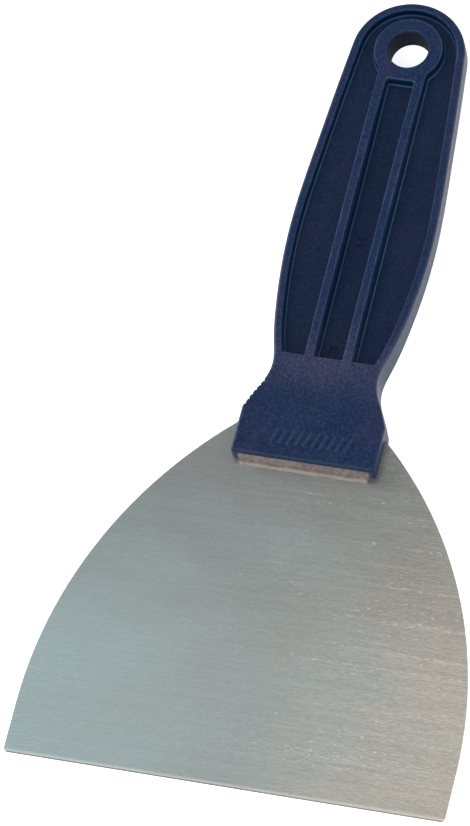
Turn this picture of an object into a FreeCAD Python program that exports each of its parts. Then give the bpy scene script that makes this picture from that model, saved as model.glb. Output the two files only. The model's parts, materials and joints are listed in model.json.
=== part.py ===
import FreeCAD, Part
import math
import os

from FreeCAD import Vector

# Flexible putty knife, 4 in wide: a thin spring-steel blade set with a potting compound in the mouth of a
# one-piece moulded handle.
#
# The shapes are drawn with x across the blade, y from the working edge towards the hanging hole and z up
# from the blade's mid-plane. to_part_frame() then moves them to the part's own frame, whose origin is the
# bottom centre of the whole knife lying on its back. All lengths are in millimetres, all angles in degrees.

# Blade
BLADE_WIDTH = 101.6
BLADE_THICKNESS = 0.6
BLADE_SIDE_STRAIGHT = 12.1      # straight length of each side, from the working edge
BLADE_SIDE_RADIUS = 104.6       # then each side is one convex arc
BLADE_CORNER_RADIUS = 0.9
BLADE_ARC_END_Y = 91.0          # where the arc ends, inside the handle
EDGE_THICKNESS = 0.35           # the working edge, between two small ground bevels
EDGE_BEVEL_LENGTH = 0.8
TANG_HALF_WIDTH = 9.0
TANG_END_Y = 101.0
TANG_CORNER_RADIUS = 2.0
TANG_NECK_RADIUS = 4.0
TANG_HOLE_RADIUS = 2.5
TANG_HOLE_X = 4.5
TANG_HOLE_Y = 95.0

# Handle outline, seen from the front
MOUTH_Y = 79.6
BLOCK_HALF_WIDTH = 16.85
SHOULDER_HALF_WIDTH = 16.75
SHOULDER_Y = 90.8
SHOULDER_RADIUS = 2.0
SHOULDER_TURN = 27.0            # turn of the outline at the shoulder
MOUTH_CORNER_RADIUS = 0.9
GRIP_POINTS = [                 # half width, y: shoulder, neck, belly and tapering grip
    (15.55, 94.0), (13.35, 98.4), (12.42, 102.4), (13.50, 108.4), (15.60, 120.0), (16.85, 139.5),
    (15.50, 162.0),
]
END_RADIUS = 13.35              # the end is one arc, from the taper of one side to the other
END_CENTRE_Y = 186.35
END_TAPER = 5.5                 # slope of the side where it meets the end arc
HANDLE_END_Y = END_CENTRE_Y + END_RADIUS

# Handle section
CAP_PROFILE = [                 # y, half thickness of the mouth block, neck and rim
    (79.6, 4.00), (92.0, 4.05), (103.0, 4.22), (112.0, 3.75), (125.0, 3.32), (145.0, 3.16), (172.0, 3.10),
    (HANDLE_END_Y, 3.03),
]
CREST_PROFILE = [               # y, height of the ribs above the mid-plane, crowned along the grip
    (97.0, 3.85), (108.0, 4.45), (120.0, 4.70), (131.0, 4.75), (145.0, 4.72), (160.0, 4.50), (172.0, 4.05),
    (180.5, 3.40),
]
CREST_START_SLOPE = 0.07
OUTER_EDGE_RADIUS = 0.8
RIM_WIDTH = 1.9
RIM_EDGE_RADIUS = 0.3
WEB_HALF_THICKNESS = 0.85
POCKET_START_Y = 105.9
POCKET_CORNER_RADIUS = 0.9
POCKET_FLOOR_RADIUS = 0.4
WALL_DRAFT = 5.0
DRAFT_DATUM_Z = 3.4             # height at which the pocket and rib widths are stated
CUTTER_TOP_Z = 7.0

# Ribs, boss and hanging hole
RIB_CENTRE_X = 4.45
RIB_TOP_WIDTH = 2.25
RIB_EDGE_RADIUS = 0.25
BOSS_Y = 187.2
BOSS_RADIUS = 8.0
BOSS_HALF_THICKNESS = 3.4
BOSS_RIB_RADIUS = 1.6
CHANNEL_END_Y = 179.1           # square end of the middle channel, in front of the boss
HANG_HOLE_RADIUS = 4.7
HANG_HOLE_EDGE_RADIUS = 0.35

# Socket for the blade, and the potting compound in it
SOCKET_MOUTH = (15.4, 2.9)      # half width and half height at the mouth
SOCKET_END = (10.2, 1.1)        # half width and half height at the blind end
SOCKET_END_Y = 102.6
BEAD_PROFILE = [(1.9, 0.0), (1.14, 0.16), (0.0, 0.8)]   # distance in front of the mouth, height on the blade
BEAD_HALF_WIDTH = 15.2
BEAD_ROOT = 0.5                 # how far the bead reaches back into the socket

# Thumb serrations: V notches across the left shoulder only
SERRATION_COUNT = 6
SERRATION_HALF_WIDTH = 0.48
SERRATION_DEPTH = 0.55
SERRATION_FIRST = (16.3, 91.9)  # half width and y near the outline of the first and last notches
SERRATION_LAST = (13.3, 98.0)

# Small moulding marks
BAR_MARK_COUNT = 10             # plain slanted bars in low relief on the block
BAR_MARK_PITCH = 1.9
BAR_MARK_SIZE = (0.55, 3.6, 0.22)
BAR_MARK_SLANT = 18.0
BAR_MARK_CENTRE = (1.0, 84.8)
FLOOR_MARKS = [                 # x, y, width, length of shallow recesses in the floor of the middle channel
    (0.0, 109.4, 1.7, 1.7), (0.0, 136.5, 1.8, 0.7), (0.0, 138.3, 1.8, 0.7),
]
FLOOR_MARK_DEPTH = 0.35

# Construction
CLEAR = 60.0                    # more than half of any width or height, for cutters that clear the knife
SAME = 0.01                     # places closer than this count as the same
RIM_TOP_MARGIN = 0.1            # how far below the rim's thinnest place its edges are looked for
X_AXIS = Vector(1, 0, 0)
Y_AXIS = Vector(0, 1, 0)
Z_AXIS = Vector(0, 0, 1)


def to_part_frame(shape, crest_height):
    """Move a shape from drawing coordinates to the part frame."""
    moved = shape.copy()
    moved.translate(Vector(0, -HANDLE_END_Y / 2, crest_height))
    return moved


def mirrored(shape, normal):
    """The shape's mirror image in the plane through the drawing origin with this normal."""
    return shape.mirror(Vector(0, 0, 0), normal)


def prism(face, direction):
    return face.extrude(direction)


def spline_edge(points, start_tangent=None, end_tangent=None):
    """A smooth edge through the points."""
    curve = Part.BSplineCurve()
    if start_tangent is None:
        curve.interpolate(points)
    else:
        curve.interpolate(Points=points, InitialTangent=start_tangent, FinalTangent=end_tangent)
    return curve.toShape()


def arc_edge(centre, radius, start, end):
    """An arc in the xy plane, between two angles counted from +X."""
    circle = Part.Circle(centre, Z_AXIS, radius)
    return Part.Arc(circle, math.radians(start), math.radians(end)).toShape()


def symmetric_face(half_edges):
    """A face bounded by the half outline and its mirror image in the plane x = 0."""
    edges = half_edges + [mirrored(edge, X_AXIS) for edge in half_edges]
    return Part.Face(Part.Wire(Part.__sortEdges__(edges)))


def edges_where(shape, test):
    return [edge for edge in shape.Edges if test(edge)]


def is_upright(edge, shortest=1.0):
    """True for an edge that runs mostly along z and is at least this long."""
    box = edge.BoundBox
    return box.ZLength >= shortest and box.ZLength > 3 * max(box.XLength, box.YLength)


def lies_at_height(edge, z):
    box = edge.BoundBox
    return abs(box.ZMin - z) < SAME and abs(box.ZMax - z) < SAME


def upright_edges_at(shape, x, y):
    """The short upright edges at (x, y) and at its mirror image (-x, y)."""
    return edges_where(shape, lambda edge: is_upright(edge, BLADE_THICKNESS / 2)
                       and abs(abs(edge.CenterOfMass.x) - x) < SAME
                       and abs(edge.CenterOfMass.y - y) < SAME)


# ---------------------------------------------------------------- blade

def blade_side_x(y):
    """Half width of the blade on its convex side arc."""
    return BLADE_WIDTH / 2 - BLADE_SIDE_RADIUS + math.sqrt(
        BLADE_SIDE_RADIUS ** 2 - (y - BLADE_SIDE_STRAIGHT) ** 2)


def make_edge_bevel(side):
    """Cutter for the small bevel at the working edge, on the front (1) or the back (-1) of the blade."""
    corners = [
        (-SAME, EDGE_THICKNESS / 2), (EDGE_BEVEL_LENGTH, BLADE_THICKNESS / 2),
        (EDGE_BEVEL_LENGTH, BLADE_THICKNESS), (-SAME, BLADE_THICKNESS), (-SAME, EDGE_THICKNESS / 2),
    ]
    section = Part.makePolygon([Vector(-CLEAR, y, side * z) for y, z in corners])
    return prism(Part.Face(section), Vector(2 * CLEAR, 0, 0))


def make_blade():
    half = BLADE_WIDTH / 2
    arc_centre = Vector(half - BLADE_SIDE_RADIUS, BLADE_SIDE_STRAIGHT, 0)
    arc_end_angle = math.degrees(math.asin((BLADE_ARC_END_Y - BLADE_SIDE_STRAIGHT) / BLADE_SIDE_RADIUS))
    arc_end = Vector(blade_side_x(BLADE_ARC_END_Y), BLADE_ARC_END_Y, 0)
    tang_foot = Vector(TANG_HALF_WIDTH, BLADE_ARC_END_Y, 0)
    tang_end = Vector(TANG_HALF_WIDTH, TANG_END_Y, 0)
    edges = [
        Part.LineSegment(Vector(0, 0, 0), Vector(half, 0, 0)).toShape(),
        Part.LineSegment(Vector(half, 0, 0), Vector(half, BLADE_SIDE_STRAIGHT, 0)).toShape(),
        arc_edge(arc_centre, BLADE_SIDE_RADIUS, 0, arc_end_angle),
        Part.LineSegment(arc_end, tang_foot).toShape(),
        Part.LineSegment(tang_foot, tang_end).toShape(),
        Part.LineSegment(tang_end, Vector(0, TANG_END_Y, 0)).toShape(),
    ]
    blank = prism(symmetric_face(edges), Vector(0, 0, BLADE_THICKNESS))
    blank.translate(Vector(0, 0, -BLADE_THICKNESS / 2))
    blank = blank.makeFillet(BLADE_CORNER_RADIUS, upright_edges_at(blank, half, 0))
    blank = blank.makeFillet(TANG_NECK_RADIUS, upright_edges_at(blank, TANG_HALF_WIDTH, BLADE_ARC_END_Y))
    blank = blank.makeFillet(TANG_CORNER_RADIUS, upright_edges_at(blank, TANG_HALF_WIDTH, TANG_END_Y))

    for side in (-1, 1):
        hole_start = Vector(side * TANG_HOLE_X, TANG_HOLE_Y, -BLADE_THICKNESS)
        blank = blank.cut(Part.makeCylinder(TANG_HOLE_RADIUS, 2 * BLADE_THICKNESS, hole_start))
        blank = blank.cut(make_edge_bevel(side))
    return blank


# ---------------------------------------------------------------- handle

def handle_outline():
    """Closed plan outline of the handle, and its right-hand grip edge."""
    shoulder_centre = Vector(SHOULDER_HALF_WIDTH - SHOULDER_RADIUS, SHOULDER_Y, 0)
    turn = math.radians(SHOULDER_TURN)
    shoulder_end = shoulder_centre + Vector(math.cos(turn), math.sin(turn), 0) * SHOULDER_RADIUS
    end_centre = Vector(0, END_CENTRE_Y, 0)
    taper = math.radians(END_TAPER)
    end_start = end_centre + Vector(math.cos(taper), math.sin(taper), 0) * END_RADIUS
    grip_points = [shoulder_end] + [Vector(x, y, 0) for x, y in GRIP_POINTS] + [end_start]
    grip = spline_edge(grip_points, Vector(-math.sin(turn), math.cos(turn), 0),
                       Vector(-math.sin(taper), math.cos(taper), 0))
    corner_centre = Vector(BLOCK_HALF_WIDTH - MOUTH_CORNER_RADIUS, MOUTH_Y + MOUTH_CORNER_RADIUS, 0)
    edges = [
        Part.LineSegment(Vector(0, MOUTH_Y, 0), Vector(corner_centre.x, MOUTH_Y, 0)).toShape(),
        arc_edge(corner_centre, MOUTH_CORNER_RADIUS, -90, 0),
        Part.LineSegment(Vector(BLOCK_HALF_WIDTH, corner_centre.y, 0),
                         Vector(SHOULDER_HALF_WIDTH, SHOULDER_Y, 0)).toShape(),
        arc_edge(shoulder_centre, SHOULDER_RADIUS, 0, SHOULDER_TURN),
        grip,
        arc_edge(end_centre, END_RADIUS, END_TAPER, 90),
    ]
    return symmetric_face(edges), grip


def side_profile_solid(top_edges, x_half):
    """Solid between a side profile, drawn at x = -x_half, and its mirror image below the mid-plane."""
    ends = []
    for y in (top_edges[0].Vertexes[0].Y, top_edges[-1].Vertexes[-1].Y):
        height = max(vertex.Z for edge in top_edges for vertex in edge.Vertexes if abs(vertex.Y - y) < SAME)
        ends.append(Part.LineSegment(Vector(-x_half, y, -height), Vector(-x_half, y, height)).toShape())
    edges = top_edges + [mirrored(edge, Z_AXIS) for edge in top_edges] + ends
    return prism(Part.Face(Part.Wire(Part.__sortEdges__(edges))), Vector(2 * x_half, 0, 0))


def make_body(outline):
    """Mouth block, neck and grip as one smooth slab, with its outer edges rounded."""
    slab = prism(outline, Vector(0, 0, 2 * CUTTER_TOP_Z))
    slab.translate(Vector(0, 0, -CUTTER_TOP_Z))
    cap = spline_edge([Vector(-CLEAR, y, height) for y, height in CAP_PROFILE])
    body = slab.common(side_profile_solid([cap], CLEAR))
    rims = edges_where(body, lambda edge: not is_upright(edge))
    return body.makeFillet(OUTER_EDGE_RADIUS, rims)


def drafted_inset(z, inset):
    """How far a pocket wall lies inside the outline at height z."""
    return inset + (DRAFT_DATUM_Z - z) * math.tan(math.radians(WALL_DRAFT))


def pocket_section(outline, z):
    """Plan section of the pocket, inside the rim, at height z."""
    inset = drafted_inset(z, RIM_WIDTH)
    inner = Part.Face(outline.OuterWire.makeOffset2D(-inset))
    start_y = POCKET_START_Y + inset - RIM_WIDTH
    keep = Part.makePlane(2 * CLEAR, 2 * CLEAR, Vector(-CLEAR, start_y, 0))
    section = inner.common(keep).Faces[0]
    section.translate(Vector(0, 0, z))
    return section.OuterWire


def make_pocket(outline):
    """The space inside the rim of one face, with drafted walls, before the ribs and boss are left in it."""
    sections = [pocket_section(outline, z) for z in (WEB_HALF_THICKNESS, CUTTER_TOP_Z)]
    walls = Part.makeLoft(sections, True, True)
    corners = edges_where(walls, lambda edge: is_upright(edge) and edge.CenterOfMass.y < POCKET_START_Y + 2)
    return walls.makeFillet(POCKET_CORNER_RADIUS, corners)


def drafted_bar(centre_x, top_width, y_start, y_end):
    """A long bar along y whose width grows downwards with the draft; top_width is at the draft datum."""
    slope = math.tan(math.radians(WALL_DRAFT))
    half_top = top_width / 2 - (CUTTER_TOP_Z - DRAFT_DATUM_Z) * slope
    half_foot = top_width / 2 + DRAFT_DATUM_Z * slope
    section = Part.makePolygon([
        Vector(centre_x - half_foot, y_start, 0), Vector(centre_x + half_foot, y_start, 0),
        Vector(centre_x + half_top, y_start, CUTTER_TOP_Z),
        Vector(centre_x - half_top, y_start, CUTTER_TOP_Z), Vector(centre_x - half_foot, y_start, 0),
    ])
    return prism(Part.Face(section), Vector(0, y_end - y_start, 0))


def make_relief():
    """The two ribs and the ring boss of one face, standing on the mid-plane, taller than their crest."""
    slope = math.tan(math.radians(WALL_DRAFT))
    boss = Part.makeCone(BOSS_RADIUS + DRAFT_DATUM_Z * slope,
                         BOSS_RADIUS - (CUTTER_TOP_Z - DRAFT_DATUM_Z) * slope,
                         CUTTER_TOP_Z, Vector(0, BOSS_Y, 0))
    relief = boss
    for side in (-1, 1):
        relief = relief.fuse(drafted_bar(side * RIB_CENTRE_X, RIB_TOP_WIDTH, CREST_PROFILE[0][0],
                                         BOSS_Y - BOSS_RADIUS / 2))
    end_wall = Part.makePolygon([
        Vector(-RIB_CENTRE_X, CHANNEL_END_Y - DRAFT_DATUM_Z * slope, 0), Vector(-RIB_CENTRE_X, BOSS_Y, 0),
        Vector(-RIB_CENTRE_X, BOSS_Y, CUTTER_TOP_Z),
        Vector(-RIB_CENTRE_X, CHANNEL_END_Y + (CUTTER_TOP_Z - DRAFT_DATUM_Z) * slope, CUTTER_TOP_Z),
        Vector(-RIB_CENTRE_X, CHANNEL_END_Y - DRAFT_DATUM_Z * slope, 0),
    ])
    relief = relief.fuse(prism(Part.Face(end_wall), Vector(2 * RIB_CENTRE_X, 0, 0))).removeSplitter()
    outer_corners = edges_where(relief, lambda edge: is_upright(edge)
                                and abs(edge.CenterOfMass.x) > RIB_CENTRE_X
                                and CHANNEL_END_Y < edge.CenterOfMass.y < BOSS_Y)
    return relief.makeFillet(BOSS_RIB_RADIUS, outer_corners)


def make_crest(relief):
    """The relief cut to height: the ribs are crowned, and run smoothly into the flat face of the boss."""
    points = [Vector(-CLEAR, y, height) for y, height in CREST_PROFILE]
    ribs = spline_edge(points, Vector(0, 1, CREST_START_SLOPE), Y_AXIS)
    boss = Part.LineSegment(points[-1], Vector(-CLEAR, HANDLE_END_Y, points[-1].z)).toShape()
    crest = relief.common(side_profile_solid([ribs, boss], CLEAR)).removeSplitter()
    top_edges = edges_where(crest, lambda edge: edge.BoundBox.ZMin > BOSS_HALF_THICKNESS - SAME
                            and edge.BoundBox.YMax > CREST_PROFILE[0][0] + 10 * SAME)
    return crest.makeFillet(RIB_EDGE_RADIUS, top_edges)


def is_rim_inner_edge(edge):
    """True for a front edge between the pocket's wall and the rim or neck, clear of the ribs and boss."""
    middle = edge.valueAt((edge.FirstParameter + edge.LastParameter) / 2)
    on_rib = abs(abs(middle.x) - RIB_CENTRE_X) < 0.6 * RIB_TOP_WIDTH and middle.y < BOSS_Y
    on_boss = math.hypot(middle.x, middle.y - BOSS_Y) < BOSS_RADIUS + 0.5
    at_rim = (edge.BoundBox.ZMin > CAP_PROFILE[-1][1] - RIM_TOP_MARGIN
              and edge.BoundBox.YMin > POCKET_START_Y - 0.5)
    return at_rim and not on_rib and not on_boss


def make_socket():
    """Tapered blind socket that takes the tang."""
    sections = []
    for y, (half_x, half_z) in ((MOUTH_Y - SAME, SOCKET_MOUTH), (SOCKET_END_Y, SOCKET_END)):
        sections.append(Part.makePolygon([
            Vector(-half_x, y, -half_z), Vector(half_x, y, -half_z), Vector(half_x, y, half_z),
            Vector(-half_x, y, half_z), Vector(-half_x, y, -half_z),
        ]))
    return Part.makeLoft(sections, True, True)


def make_serrations(grip):
    """V-shaped cutters along the shoulder, for a row of small ridges under the thumb."""
    cutters = []
    for index in range(SERRATION_COUNT):
        share = index / (SERRATION_COUNT - 1)
        near = Vector(SERRATION_FIRST[0] + share * (SERRATION_LAST[0] - SERRATION_FIRST[0]),
                      SERRATION_FIRST[1] + share * (SERRATION_LAST[1] - SERRATION_FIRST[1]), 0)
        parameter = grip.Curve.parameter(near)
        point = grip.Curve.value(parameter)
        tangent = grip.Curve.tangent(parameter)[0]
        outward = Vector(abs(tangent.y), abs(tangent.x), 0)
        apex = point - outward * SERRATION_DEPTH
        reach = 2.0                 # the V is drawn twice as deep as the notch, so that it clears the outline
        spread = tangent * SERRATION_HALF_WIDTH * reach
        far = apex + outward * SERRATION_DEPTH * reach
        notch = Part.makePolygon([apex, far + spread, far - spread, apex])
        notch.translate(Vector(0, 0, -CUTTER_TOP_Z))
        cutters.append(mirrored(prism(Part.Face(notch), Vector(0, 0, 2 * CUTTER_TOP_Z)), X_AXIS))
    return cutters


def make_floor_marks():
    return [Part.makeBox(width, length, 1, Vector(x - width / 2, y - length / 2,
                                                  WEB_HALF_THICKNESS - FLOOR_MARK_DEPTH))
            for x, y, width, length in FLOOR_MARKS]


def make_bar_marks():
    """A row of plain slanted bars standing slightly proud of the block's front face."""
    width, length, height = BAR_MARK_SIZE
    bars = []
    for index in range(BAR_MARK_COUNT):
        x = BAR_MARK_CENTRE[0] + (index - (BAR_MARK_COUNT - 1) / 2) * BAR_MARK_PITCH
        bar = Part.makeBox(width, length, 1.0, Vector(-width / 2, -length / 2, 0))
        bar.rotate(Vector(0, 0, 0), Z_AXIS, -BAR_MARK_SLANT)
        bar.translate(Vector(x, BAR_MARK_CENTRE[1], CAP_PROFILE[0][1] - 1.0 + height))
        bars.append(bar)
    return bars


def is_hole_edge(edge):
    """True for the two circles where the hanging hole meets the flat faces of the boss."""
    on_face = lies_at_height(edge, BOSS_HALF_THICKNESS) or lies_at_height(edge, -BOSS_HALF_THICKNESS)
    return on_face and abs(edge.BoundBox.XMax - HANG_HOLE_RADIUS) < SAME


def make_handle(blade):
    outline, grip = handle_outline()
    pocket = make_pocket(outline)
    relief = make_relief()
    cutter = pocket.cut(relief).removeSplitter()
    floor_edges = edges_where(cutter, lambda edge: lies_at_height(edge, WEB_HALF_THICKNESS))
    cutter = cutter.makeFillet(POCKET_FLOOR_RADIUS, floor_edges)
    crest = make_crest(relief)

    handle = make_body(outline)
    handle = handle.cut([cutter, mirrored(cutter, Z_AXIS)])
    handle = handle.fuse([crest, mirrored(crest, Z_AXIS)]).removeSplitter()
    for _ in range(2):
        handle = handle.makeFillet(RIM_EDGE_RADIUS, edges_where(handle, is_rim_inner_edge))
        handle = mirrored(handle, Z_AXIS)
    hole_start = Vector(0, BOSS_Y, -CUTTER_TOP_Z)
    handle = handle.cut(Part.makeCylinder(HANG_HOLE_RADIUS, 2 * CUTTER_TOP_Z, hole_start))
    handle = handle.makeFillet(HANG_HOLE_EDGE_RADIUS, edges_where(handle, is_hole_edge))
    for mark in make_floor_marks():
        handle = handle.cut(mark)
    for bar in make_bar_marks():
        handle = handle.fuse(bar)
    for notch in make_serrations(grip):
        handle = handle.cut(notch)
    return handle.cut(make_socket()).cut(blade)


# ---------------------------------------------------------------- potting compound

def make_potting(blade):
    """Compound that fills the socket round the tang, with a small bead on each face of the blade."""
    inside = Part.makeBox(2 * CLEAR, CLEAR, 2 * CLEAR, Vector(-CLEAR, MOUTH_Y, -CLEAR))
    potting = make_socket().common(inside)
    root_y = MOUTH_Y + BEAD_ROOT
    for side in (-1, 1):
        bead = [(root_y, 0)]
        bead += [(MOUTH_Y - ahead, BLADE_THICKNESS / 2 + height) for ahead, height in BEAD_PROFILE]
        bead += [(root_y, bead[-1][1]), (root_y, 0)]
        section = Part.makePolygon([Vector(-BEAD_HALF_WIDTH, y, side * z) for y, z in bead])
        potting = potting.fuse(prism(Part.Face(section), Vector(2 * BEAD_HALF_WIDTH, 0, 0)))
    return potting.removeSplitter().cut(blade)


def main():
    os.makedirs("parts", exist_ok=True)
    blade = make_blade()
    handle = make_handle(blade)
    crest_height = -handle.optimalBoundingBox(False).ZMin
    pieces = {"blade": blade, "handle": handle, "potting": make_potting(blade)}
    for name, shape in pieces.items():
        to_part_frame(shape, crest_height).exportStep("parts/" + name + ".step")
        print(name, "solids", len(shape.Solids), "valid", shape.isValid(), "volume", round(shape.Volume, 1))


main()
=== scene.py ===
import json
import math

import bmesh
import bpy
from mathutils import Matrix, Vector, noise


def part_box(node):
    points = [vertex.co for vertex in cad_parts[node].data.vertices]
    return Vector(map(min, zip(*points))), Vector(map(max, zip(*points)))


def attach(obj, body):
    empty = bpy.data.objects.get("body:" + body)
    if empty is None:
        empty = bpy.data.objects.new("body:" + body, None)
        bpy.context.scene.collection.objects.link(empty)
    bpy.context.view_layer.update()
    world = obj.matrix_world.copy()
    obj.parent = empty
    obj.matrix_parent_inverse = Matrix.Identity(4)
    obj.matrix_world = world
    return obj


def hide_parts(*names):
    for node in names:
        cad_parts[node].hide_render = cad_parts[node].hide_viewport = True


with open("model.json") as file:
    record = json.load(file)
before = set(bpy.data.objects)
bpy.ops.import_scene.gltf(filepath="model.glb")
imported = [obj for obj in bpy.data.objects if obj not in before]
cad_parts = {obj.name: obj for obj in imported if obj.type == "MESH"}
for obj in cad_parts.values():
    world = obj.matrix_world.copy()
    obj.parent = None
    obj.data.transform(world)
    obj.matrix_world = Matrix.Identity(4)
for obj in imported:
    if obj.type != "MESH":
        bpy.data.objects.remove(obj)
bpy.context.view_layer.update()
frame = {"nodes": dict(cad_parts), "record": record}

MM = 0.001

# Places on the knife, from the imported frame
BLADE_LOW, BLADE_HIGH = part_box("blade")
HANDLE_LOW, HANDLE_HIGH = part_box("handle")
POTTING_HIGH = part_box("potting")[1]
EDGE_Y = BLADE_LOW.y
MOUTH_Y = HANDLE_LOW.y
MID_Z = (BLADE_LOW.z + BLADE_HIGH.z) / 2
HANDLE_LENGTH = HANDLE_HIGH.y - HANDLE_LOW.y
hole = next(mount for mount in frame["record"]["mounts"] if mount["name"] == "hang_hole")
HOLE_Y = hole["pos_m"][1]
HOLE_RADIUS = hole["dims"]["r_mm"] * MM

# Places along the handle, as shares of its length from the mouth
NECK_SHARE = 0.19
POCKET_START_SHARE = 0.219
REST_SHARE = 0.36               # where the ribs of the back touch the floor
NECK_Y = MOUTH_Y + NECK_SHARE * HANDLE_LENGTH
POCKET_START_Y = MOUTH_Y + POCKET_START_SHARE * HANDLE_LENGTH
REST_Y = MOUTH_Y + REST_SHARE * HANDLE_LENGTH

# Camera: a long lens, aimed at a point on the blade's mid-plane
VIEW_AZIMUTH = 29.2             # degrees; 0 looks along +Y
VIEW_ELEVATION = 61.94
VIEW_ROLL = -17.68
VIEW_TARGET = Vector((-18.84 * MM, -9.17 * MM, MID_Z))
VIEW_DISTANCE = 1.8129
VIEW_LENS = 348.67
VIEW_SENSOR = 36.0
VIEW_CLIP_START = 0.05

# Floor: tilted so that the working edge and the ribs on the handle's back both rest on it
FLOOR_SIZE = 8.0
FLOOR_GAP = 0.03 * MM
FLOOR_TILT = math.atan2(BLADE_LOW.z - HANDLE_LOW.z, REST_Y - EDGE_Y)
FLOOR_GLOW = 0.65               # the floor's own light, which keeps the background white

# Lights, all aimed at the origin: name, place in metres, size in metres, watts, colour
LIGHTS = [
    ("key", (-0.5, -1.2, 1.6), (2.2, 2.2), 30.0, (1.0, 1.0, 1.0)),
    ("fill", (1.5, 0.2, 0.9), (1.2, 1.2), 10.0, (1.0, 0.96, 0.92)),
    ("edge_light", (-1.6, 0.5, 0.55), (0.5, 1.0), 12.0, (0.92, 0.97, 1.0)),
]
SKY_LOW = (1.0, 1.0, 1.0, 1.0)
SKY_HIGH = (0.56, 0.56, 0.56, 1.0)
SKY_STRENGTH = 0.9


# ---------------------------------------------------------------- node helpers

class Nodes:
    """Short calls for building a material's node tree. A value is a number, a tuple or a node's output."""

    def __init__(self, tree):
        self.tree = tree

    def add(self, kind, out=0, **settings):
        """Adds a node. Settings named in_... are its input sockets, and the rest are its properties."""
        node = self.tree.nodes.new("ShaderNode" + kind)
        for key, value in settings.items():
            if key.startswith("in_"):
                self.feed(node.inputs[self.socket(key[3:])], value)
            else:
                setattr(node, key, value)
        return node.outputs[out]

    @staticmethod
    def socket(name):
        return int(name) if name.isdigit() else name.replace("_", " ")

    def feed(self, socket, value):
        if isinstance(value, bpy.types.NodeSocket):
            self.tree.links.new(value, socket)
        else:
            socket.default_value = value

    def maths(self, operation, a, b=0.0, c=0.0, clamp=False):
        return self.add("Math", operation=operation, use_clamp=clamp, in_0=a, in_1=b, in_2=c)

    def plus(self, a, b):
        return self.maths("ADD", a, b)

    def minus(self, a, b):
        return self.maths("SUBTRACT", a, b)

    def times(self, a, b, clamp=False):
        return self.maths("MULTIPLY", a, b, clamp=clamp)

    def centred(self, value, width):
        """A value of 0 to 1 as a swing about zero, of the given width."""
        return self.times(self.minus(value, 0.5), width)

    def noise(self, coordinates, scale, detail=2.0, roughness=0.5, seed=0.0):
        """Noise of a given scale: a number, or one scale per axis, in cells per metre."""
        factors = scale if isinstance(scale, tuple) else (scale, scale, scale)
        moved = self.add("Mapping", in_Vector=coordinates, in_Scale=factors,
                         in_Location=(seed * 7.31, seed * 3.17, seed * 5.73))
        return self.add("TexNoise", in_Vector=moved, in_Scale=1.0, in_Detail=detail, in_Roughness=roughness)

    def weighted(self, *terms):
        """Sum of (value, weight) pairs."""
        total = 0.0
        for value, weight in terms:
            total = self.maths("MULTIPLY_ADD", value, weight, total)
        return total

    def scaled(self, colour, factor):
        return self.add("VectorMath", operation="SCALE", in_0=colour, in_Scale=factor)

    def ramp(self, value, low, high, start=0.0, end=1.0):
        """Maps low..high to start..end, clamped, with smooth ends."""
        return self.add("MapRange", interpolation_type="SMOOTHSTEP", in_Value=value, in_From_Min=low,
                        in_From_Max=high, in_To_Min=start, in_To_Max=end)

    def mix(self, amount, a, b, blend="MIX"):
        node = self.tree.nodes.new("ShaderNodeMix")
        node.data_type = "RGBA"
        node.blend_type = blend
        self.feed(node.inputs[0], amount)
        self.feed(node.inputs[6], a)
        self.feed(node.inputs[7], b)
        return node.outputs[2]

    def bump(self, height, distance, strength):
        return self.add("Bump", in_Height=height, in_Distance=distance, in_Strength=strength)

    def separate(self, vector):
        """The x, y and z outputs of a vector."""
        node = self.tree.nodes.new("ShaderNodeSeparateXYZ")
        self.feed(node.inputs[0], vector)
        return tuple(node.outputs)


def new_material(name):
    """A material with only a Principled shader, and its node helper, shader and object coordinates."""
    material = bpy.data.materials.new(name)
    material.use_nodes = True
    tree = material.node_tree
    shader = next(node for node in tree.nodes if node.type == "BSDF_PRINCIPLED")
    nodes = Nodes(tree)
    coordinates = nodes.add("TexCoord", out=3)
    return material, nodes, shader, coordinates


def assign(thing, material):
    thing.data.materials.clear()
    thing.data.materials.append(material)


# ---------------------------------------------------------------- blade steel

# The cool-to-warm tone, the glints, the streaks and the edge lines are painted reflection, highlight and
# shade set by place on the blade. They stand for reflections of one setting and stay the same from every
# side. The haze is adhesive film.
STEEL_LEFT = (0.480, 0.605, 0.615, 1.0)
STEEL_MIDDLE = (0.478, 0.535, 0.520, 1.0)
STEEL_RIGHT = (0.690, 0.635, 0.555, 1.0)
STEEL_SHADE = (0.72, 0.72, 0.72, 1.0)
STEEL_SHADE_BY_HANDLE = (0.345, 0.342, 0.330, 1.0)
STREAK_HIGHLIGHT_TONE = (1.0, 0.97, 0.90, 1.0)
GLINT_TONE = (1.0, 0.98, 0.90, 1.0)
BEVEL_HIGHLIGHT_TONE = (1.0, 0.93, 0.88, 1.0)
EDGE_FACE_SHADE_TONE = (0.075, 0.055, 0.055, 1.0)
HAZE_TONE = (0.36, 0.31, 0.27, 1.0)

# Grinding lines: cells per metre along x, y and z, noise roughness, seed, share of the whole
GRIND_LAYERS = [
    ((800.0, 5200.0, 300.0), 0.6, 1, 0.50),
    ((260.0, 2600.0, 300.0), 0.5, 2, 0.30),
    ((30.0, 700.0, 300.0), 0.5, 3, 0.20),
]
TONE_WANDER = 45 * MM           # how far noise moves the borders between tones
GLINT_LEVEL = 0.755             # noise above this level glints
GLINT_GAIN = 14.0
STREAK_LEVEL = 0.645
STREAK_GAIN = 8.0
HAZE_REACH = 4.2 * MM           # from the mouth onto the blade
HAZE_UNEVENNESS = 2.6 * MM
STEEL_ANISOTROPY = 0.6


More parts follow.
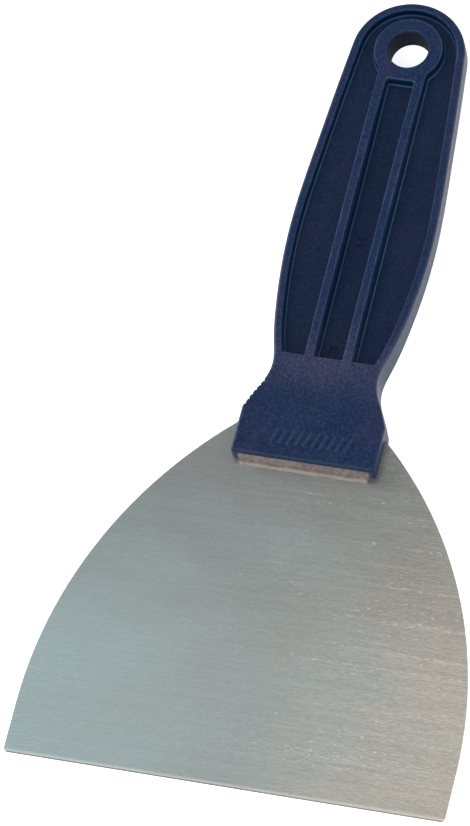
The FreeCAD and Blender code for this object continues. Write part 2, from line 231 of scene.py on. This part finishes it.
def steel_reflection_tone(nodes, place, x, y):
    """Painted reflection, cool at the left and warm at the right, with painted shade darker towards the
    handle.
    """
    blotch = nodes.noise(place, (38.0, 60.0, 60.0), detail=3.0, seed=4)
    wander = nodes.centred(blotch, TONE_WANDER)
    drifting = nodes.plus(x, wander)
    left = nodes.ramp(drifting, -55 * MM, 4 * MM)
    right = nodes.ramp(drifting, -2 * MM, 56 * MM)
    tone = nodes.mix(right, nodes.mix(left, STEEL_LEFT, STEEL_MIDDLE), STEEL_RIGHT)
    towards_handle = nodes.ramp(nodes.plus(y, wander), EDGE_Y + 22 * MM, EDGE_Y + 85 * MM)
    # Painted shade: the tone grows darker towards the handle
    shaded = nodes.mix(1.0, tone, STEEL_SHADE, "MULTIPLY")
    return nodes.mix(towards_handle, tone, nodes.mix(0.5, shaded, STEEL_SHADE_BY_HANDLE))


def steel_glints(nodes, place, x, y, ground):
    """The ground colour with painted highlights, bright scratches and glints, mostly at the right; and the
    glints alone.
    """
    at_right = nodes.ramp(x, -20 * MM, 45 * MM)
    nearby = nodes.times(at_right, nodes.ramp(y, EDGE_Y, EDGE_Y + 100 * MM, 1.0, 0.55))
    row = nodes.noise(place, (14.0, 900.0, 300.0), detail=1.0, seed=7)
    spark = nodes.noise(place, (750.0, 3600.0, 300.0), detail=1.0, seed=5)
    scratch_highlight = nodes.noise(place, (170.0, 4200.0, 300.0), detail=1.0, seed=8)
    glint_level = nodes.weighted((row, 0.35), (spark, 0.75), (nearby, 0.11))
    scratch_highlight_level = nodes.weighted((row, 0.34), (scratch_highlight, 0.66), (nearby, 0.09))
    glint = nodes.times(nodes.minus(glint_level, GLINT_LEVEL), GLINT_GAIN, clamp=True)
    streak = nodes.times(nodes.minus(scratch_highlight_level, STREAK_LEVEL), STREAK_GAIN, clamp=True)
    # Painted highlights: bright streaks, then glints, laid over the steel
    streaked = nodes.mix(nodes.times(streak, 0.28), ground, STREAK_HIGHLIGHT_TONE)
    return nodes.mix(nodes.times(glint, 0.95), streaked, GLINT_TONE), glint


def steel_edge(nodes, y, colour):
    """A painted highlight along the working edge's bevel, and a dark line of painted shade on its face."""
    # Painted highlight on the bevel, painted shade on the edge face
    bevel = nodes.ramp(y, EDGE_Y + 0.35 * MM, EDGE_Y + 0.85 * MM, 0.22, 0.0)
    edge_face = nodes.ramp(y, EDGE_Y + 0.02 * MM, EDGE_Y + 0.25 * MM, 0.85, 0.0)
    return nodes.mix(edge_face, nodes.mix(bevel, colour, BEVEL_HIGHLIGHT_TONE), EDGE_FACE_SHADE_TONE)


def mouth_haze(nodes, place, x, y):
    """How much adhesive film lies on the steel in front of the mouth."""
    film = nodes.noise(place, (500.0, 220.0, 400.0), detail=4.0, roughness=0.6, seed=6)
    start = nodes.plus(MOUTH_Y - HAZE_REACH, nodes.times(film, HAZE_UNEVENNESS))
    under_mouth = nodes.ramp(nodes.maths("ABSOLUTE", x), POTTING_HIGH.x - 0.6 * MM, POTTING_HIGH.x, 1.0, 0.0)
    return nodes.times(nodes.ramp(nodes.minus(y, start), 0.0, 2.2 * MM, 0.0, 0.6), under_mouth)


def blade_steel():
    """Spring steel ground across the blade: fine lines along X, a changing tone of painted reflection and
    shade, painted glints and painted edge lines.
    """
    material, nodes, shader, place = new_material("blade_steel")
    x, y = nodes.separate(place)[:2]
    grain = nodes.weighted(*[(nodes.noise(place, cells, roughness=roughness, seed=seed), share)
                             for cells, roughness, seed, share in GRIND_LAYERS])
    contrast = nodes.ramp(x, -30 * MM, 45 * MM, 0.12, 0.20)
    swing = nodes.times(nodes.ramp(grain, 0.38, 0.62, -1.0, 1.0), contrast)
    # The grain swings a painted reflection tone lighter and darker
    ground = nodes.scaled(steel_reflection_tone(nodes, place, x, y), nodes.plus(swing, 1.0))
    glinting, glint = steel_glints(nodes, place, x, y, ground)
    marked = steel_edge(nodes, y, glinting)
    haze = mouth_haze(nodes, place, x, y)

    roughness = nodes.minus(nodes.ramp(grain, 0.35, 0.65, 0.42, 0.30), nodes.times(glint, 0.10))
    nodes.feed(shader.inputs["Base Color"], nodes.mix(haze, marked, HAZE_TONE))
    nodes.feed(shader.inputs["Roughness"], nodes.plus(roughness, nodes.times(haze, 0.3)))
    nodes.feed(shader.inputs["Metallic"], nodes.minus(1.0, nodes.times(haze, 0.6)))
    shader.inputs["Anisotropic"].default_value = STEEL_ANISOTROPY
    nodes.feed(shader.inputs["Tangent"], nodes.add("Tangent", direction_type="RADIAL", axis="Y"))
    nodes.feed(shader.inputs["Normal"], nodes.bump(grain, 0.015 * MM, 0.35))
    return material


# ---------------------------------------------------------------- handle plastic

# The dark walls, pocket floors and bore are painted shade, and the light foot lines and lilac neck are
# painted highlight and reflection, set by place on the handle
NAVY_DEEP = (0.0008, 0.012, 0.043, 1.0)
NAVY_LIGHT = (0.003, 0.016, 0.055, 1.0)
NAVY_BLUSH = (0.018, 0.017, 0.056, 1.0)
NAVY_SPECKLE = (0.020, 0.036, 0.088, 1.0)
POCKET_SHADE_TONE = (0.0, 0.009, 0.034, 1.0)
WALL_SHADE_TONE = (0.0, 0.007, 0.036, 1.0)
FOOT_HIGHLIGHT_TONE = (0.020, 0.085, 0.150, 1.0)
NECK_SHEEN_DARK = (0.020, 0.026, 0.062, 1.0)
NECK_SHEEN_LIGHT = (0.050, 0.050, 0.104, 1.0)
BORE_SHADE_TONE = (0.0, 0.002, 0.008, 1.0)
EDGE_HIGHLIGHT_TONE = (0.055, 0.155, 0.285, 1.0)
EDGE_HIGHLIGHT_RADIUS = 0.65 * MM         # how far from an edge the painted highlight reaches
PLASTIC_SPECULAR = 0.18


def pocket_shade_and_highlight(nodes, height, sunk, in_grip, colour):
    """Painted shade on the pocket floors and walls, and a painted highlight along the foot of each wall."""
    colour = nodes.mix(nodes.times(nodes.times(sunk, in_grip), 0.42), colour, POCKET_SHADE_TONE)
    wall = nodes.times(nodes.ramp(height, 1.15 * MM, 1.4 * MM),
                       nodes.ramp(height, 2.6 * MM, 3.0 * MM, 0.8, 0.0))
    colour = nodes.mix(nodes.times(wall, in_grip), colour, WALL_SHADE_TONE)
    foot = nodes.times(nodes.ramp(height, 0.87 * MM, 0.92 * MM),
                       nodes.ramp(height, 1.0 * MM, 1.35 * MM, 0.8, 0.0))
    return nodes.mix(nodes.times(foot, in_grip), colour, FOOT_HIGHLIGHT_TONE)


def edge_highlight(nodes, cloud):
    """How strong the painted edge highlight is: most where the surface turns sharply, broken up by the cloud
    noise.
    """
    rounded = nodes.add("Bevel", samples=8, in_Radius=EDGE_HIGHLIGHT_RADIUS)
    flat = nodes.add("NewGeometry", out=1)
    facing = nodes.add("VectorMath", out=1, operation="DOT_PRODUCT", in_0=rounded, in_1=flat)
    return nodes.ramp(nodes.plus(facing, nodes.centred(cloud, 0.12)), 0.99, 0.90, 0.0, 0.90)


def handle_plastic():
    """Navy moulded plastic: fine moulding texture, faint mottling, and painted highlights that make the
    edges a little lighter.
    """
    material, nodes, shader, place = new_material("handle_plastic")
    cloud = nodes.noise(place, 120.0, detail=3.0, seed=11)
    speckle = nodes.noise(place, 1700.0, detail=3.0, roughness=0.6, seed=12)
    blush = nodes.noise(place, (130.0, 70.0, 200.0), detail=4.0, roughness=0.6, seed=13)
    colour = nodes.mix(nodes.ramp(cloud, 0.3, 0.7), NAVY_DEEP, NAVY_LIGHT)
    colour = nodes.mix(nodes.ramp(blush, 0.45, 0.70, 0.0, 0.55), colour, NAVY_BLUSH)
    colour = nodes.mix(nodes.ramp(speckle, 0.40, 0.66, 0.0, 0.60), colour, NAVY_SPECKLE)

    x, y, z = nodes.separate(place)
    height = nodes.maths("ABSOLUTE", nodes.minus(z, MID_Z))
    sunk = nodes.ramp(height, 1.0 * MM, 2.9 * MM, 1.0, 0.0)
    in_grip = nodes.ramp(y, POCKET_START_Y, POCKET_START_Y + 1.0 * MM)
    # Painted shade in the pockets, with painted highlights at the foot of their walls
    colour = pocket_shade_and_highlight(nodes, height, sunk, in_grip, colour)

    # Painted reflection: a lilac sheen across the flat front of the neck
    neck = nodes.times(nodes.ramp(y, NECK_Y - 9.0 * MM, NECK_Y + 1.0 * MM),
                       nodes.ramp(y, NECK_Y + 3.0 * MM, NECK_Y + 16.0 * MM, 1.0, 0.0))
    neck = nodes.times(neck, nodes.minus(1.0, nodes.times(sunk, in_grip)))
    lilac = nodes.mix(nodes.ramp(speckle, 0.38, 0.64), NECK_SHEEN_DARK, NECK_SHEEN_LIGHT)
    colour = nodes.mix(nodes.times(neck, nodes.ramp(blush, 0.3, 0.7, 0.35, 0.85)), colour, lilac)

    # Painted shade inside the hang hole's bore
    across = nodes.maths("POWER", x, 2.0)
    along = nodes.maths("POWER", nodes.minus(y, HOLE_Y), 2.0)
    from_axis = nodes.maths("SQRT", nodes.plus(across, along))
    in_bore = nodes.ramp(from_axis, HOLE_RADIUS + 0.05 * MM, HOLE_RADIUS + 0.3 * MM, 1.0, 0.0)
    colour = nodes.mix(nodes.times(in_bore, 0.85), colour, BORE_SHADE_TONE)

    # Painted highlights along the raised edges, weaker outside the grip
    highlight_reach = nodes.times(nodes.maths("MULTIPLY_ADD", in_grip, 0.75, 0.25), nodes.minus(1.0, sunk))
    colour = nodes.mix(nodes.times(edge_highlight(nodes, cloud), highlight_reach), colour, EDGE_HIGHLIGHT_TONE)

    nodes.feed(shader.inputs["Base Color"], colour)
    nodes.feed(shader.inputs["Roughness"], nodes.plus(nodes.ramp(speckle, 0.3, 0.7, 0.34, 0.48),
                                                      nodes.times(in_bore, 0.4)))
    shader.inputs["Specular IOR Level"].default_value = PLASTIC_SPECULAR
    nodes.feed(shader.inputs["Normal"], nodes.bump(speckle, 0.03 * MM, 0.5))
    return material


# ---------------------------------------------------------------- potting compound and floor

TAN_DARK = (0.130, 0.100, 0.096, 1.0)
TAN = (0.185, 0.155, 0.145, 1.0)
TAN_CREASE_SHADE = (0.085, 0.048, 0.044, 1.0)
TAN_BEAD = (0.25, 0.225, 0.20, 1.0)
TAN_MOTTLE = (0.30, 0.26, 0.235, 1.0)
FLOOR_DARK = (0.93, 0.93, 0.93, 1.0)
FLOOR_LIGHT = (0.95, 0.95, 0.95, 1.0)


def potting_compound():
    """Cured tan adhesive, mottled, with a line of painted shade in the crease behind a paler bead."""
    material, nodes, shader, place = new_material("potting_compound")
    mottle = nodes.noise(place, (900.0, 1300.0, 1300.0), detail=4.0, roughness=0.65, seed=21)
    patch = nodes.noise(place, (160.0, 500.0, 500.0), detail=2.0, seed=22)
    y = nodes.separate(place)[1]
    ahead = nodes.plus(nodes.minus(MOUTH_Y, y), nodes.centred(patch, 0.7 * MM))
    colour = nodes.mix(nodes.ramp(patch, 0.35, 0.65), TAN_DARK, TAN)
    # Painted shade along the crease between the face and the bead
    crease_shade = nodes.times(nodes.ramp(ahead, 0.15 * MM, 0.5 * MM),
                       nodes.ramp(ahead, 0.55 * MM, 0.95 * MM, 1.0, 0.0))
    colour = nodes.mix(nodes.times(crease_shade, 0.65), colour, TAN_CREASE_SHADE)
    colour = nodes.mix(nodes.ramp(ahead, 0.7 * MM, 1.2 * MM), colour, TAN_BEAD)
    colour = nodes.mix(nodes.ramp(mottle, 0.42, 0.72, 0.0, 0.6), colour, TAN_MOTTLE)
    nodes.feed(shader.inputs["Base Color"], colour)
    nodes.feed(shader.inputs["Roughness"], nodes.ramp(mottle, 0.3, 0.7, 0.6, 0.85))
    nodes.feed(shader.inputs["Normal"], nodes.bump(mottle, 0.15 * MM, 0.7))
    return material


def floor_paint():
    """Matt white paint that gives off a little light of its own."""
    material, nodes, shader, place = new_material("floor_paint")
    grain = nodes.noise(place, 60.0, detail=3.0, seed=31)
    nodes.feed(shader.inputs["Base Color"], nodes.mix(nodes.ramp(grain, 0.3, 0.7), FLOOR_DARK, FLOOR_LIGHT))
    shader.inputs["Roughness"].default_value = 0.9
    shader.inputs["Specular IOR Level"].default_value = 0.1
    shader.inputs["Emission Color"].default_value = (1.0, 1.0, 1.0, 1.0)
    shader.inputs["Emission Strength"].default_value = FLOOR_GLOW
    return material


# ---------------------------------------------------------------- the adhesive in the mouth

FILL_COLUMNS = 240
FILL_SIDE_GAP = 0.02            # mm to the socket's side walls
FILL_CONTACT = 0.29             # mm from the blade's mid-plane to its face, less a little
FILL_SECTION = [                # mm in front of the mouth (minus is inside), mm above the blade's mid-plane
    (-1.6, 2.86), (-0.9, 2.80), (-0.45, 2.55), (-0.15, 2.15), (0.05, 1.65), (0.25, 1.15), (0.60, 0.78),
    (1.05, 0.55), (1.50, 0.40), (1.85, FILL_CONTACT),
]
FILL_BACK = [(-3.0, FILL_CONTACT), (-3.0, 2.86)]
FILL_HALF_WIDTH = POTTING_HIGH.x / MM - FILL_SIDE_GAP


def fill_point(x, side, forward, height, on_surface):
    """A point of the compound's surface; the front is uneven, and dies away at the side walls."""
    inside_walls = 1.0 - min(1.0, max(0.0, abs(x) - FILL_HALF_WIDTH + 1.0)) ** 2
    if on_surface:
        lump = noise.noise(Vector((x * 0.30, side * 3.7, height * 0.2)))
        ripple = noise.noise(Vector((x * 1.1, side * 5.1 + forward, height * 1.6)))
        if forward > 0:
            forward *= inside_walls * (0.88 + 0.20 * lump + 0.06 * ripple)
        forward += 0.08 * ripple
        height += 0.06 * ripple * min(1.0, (height - FILL_CONTACT) * 2)
    return (x * MM, MOUTH_Y - forward * MM, MID_Z + side * height * MM)


def add_strip(shape, side):
    """One closed strip of adhesive, on the front (1) or back (-1) face of the blade."""
    section = [(*corner, True) for corner in FILL_SECTION] + [(*corner, False) for corner in FILL_BACK]
    columns = []
    for step in range(FILL_COLUMNS + 1):
        x = -FILL_HALF_WIDTH + 2 * FILL_HALF_WIDTH * step / FILL_COLUMNS
        columns.append([shape.verts.new(fill_point(x, side, *corner)) for corner in section])
    for near, far in zip(columns, columns[1:]):
        for index in range(len(section)):
            following = (index + 1) % len(section)
            shape.faces.new((near[index], far[index], far[following], near[following]))
    shape.faces.new(columns[0])
    shape.faces.new(reversed(columns[-1]))


def make_fill():
    """The adhesive seen in the mouth: one uneven strip on each face of the blade."""
    shape = bmesh.new()
    for side in (1, -1):
        add_strip(shape, side)
    bmesh.ops.recalc_face_normals(shape, faces=shape.faces)
    mesh = bpy.data.meshes.new("potting_fill")
    shape.to_mesh(mesh)
    shape.free()
    for face in mesh.polygons:
        face.use_smooth = len(face.vertices) == 4
    fill = bpy.data.objects.new("potting_fill", mesh)
    bpy.context.scene.collection.objects.link(fill)
    assign(fill, potting_compound())
    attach(fill, "root")
    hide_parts("potting")


# ---------------------------------------------------------------- stage

def make_floor():
    mesh = bpy.data.meshes.new("floor")
    half = FLOOR_SIZE / 2
    corners = [(-half, -half, 0), (half, -half, 0), (half, half, 0), (-half, half, 0)]
    mesh.from_pydata(corners, [], [(0, 1, 2, 3)])
    floor = bpy.data.objects.new("floor", mesh)
    bpy.context.scene.collection.objects.link(floor)
    floor.matrix_world = Matrix.Translation((0, REST_Y, -FLOOR_GAP)) @ Matrix.Rotation(-FLOOR_TILT, 4, "X")
    assign(floor, floor_paint())


def make_camera():
    data = bpy.data.cameras.new("camera")
    data.lens = VIEW_LENS
    data.sensor_width = VIEW_SENSOR
    data.clip_start = VIEW_CLIP_START
    camera = bpy.data.objects.new("camera", data)
    bpy.context.scene.collection.objects.link(camera)
    turn = (Matrix.Rotation(math.radians(VIEW_AZIMUTH), 4, "Z")
            @ Matrix.Rotation(math.radians(90 - VIEW_ELEVATION), 4, "X")
            @ Matrix.Rotation(math.radians(VIEW_ROLL), 4, "Z"))
    camera.matrix_world = Matrix.Translation(VIEW_TARGET) @ turn @ Matrix.Translation((0, 0, VIEW_DISTANCE))
    bpy.context.scene.camera = camera


def area_light(name, place, size, power, colour):
    """A rectangular light aimed at the origin."""
    data = bpy.data.lights.new(name, "AREA")
    data.shape = "RECTANGLE"
    data.size, data.size_y = size
    data.energy = power
    data.color = colour
    light = bpy.data.objects.new(name, data)
    bpy.context.scene.collection.objects.link(light)
    light.location = place
    light.rotation_euler = (-Vector(place)).to_track_quat("-Z", "Y").to_euler()


def make_sky():
    """Soft surroundings: bright towards the horizon, quieter overhead."""
    world = bpy.data.worlds.new("sky")
    world.use_nodes = True
    bpy.context.scene.world = world
    nodes = Nodes(world.node_tree)
    background = next(node for node in world.node_tree.nodes if node.type == "BACKGROUND")
    up = nodes.separate(nodes.add("TexCoord", out=0))[2]
    nodes.feed(background.inputs["Color"], nodes.mix(nodes.ramp(up, 0.15, 0.75), SKY_LOW, SKY_HIGH))
    background.inputs["Strength"].default_value = SKY_STRENGTH


def main():
    assign(frame["nodes"]["blade"], blade_steel())
    assign(frame["nodes"]["handle"], handle_plastic())
    make_fill()
    make_floor()
    make_camera()
    make_sky()
    for light in LIGHTS:
        area_light(*light)
    bpy.context.scene.view_settings.view_transform = "Standard"


main()
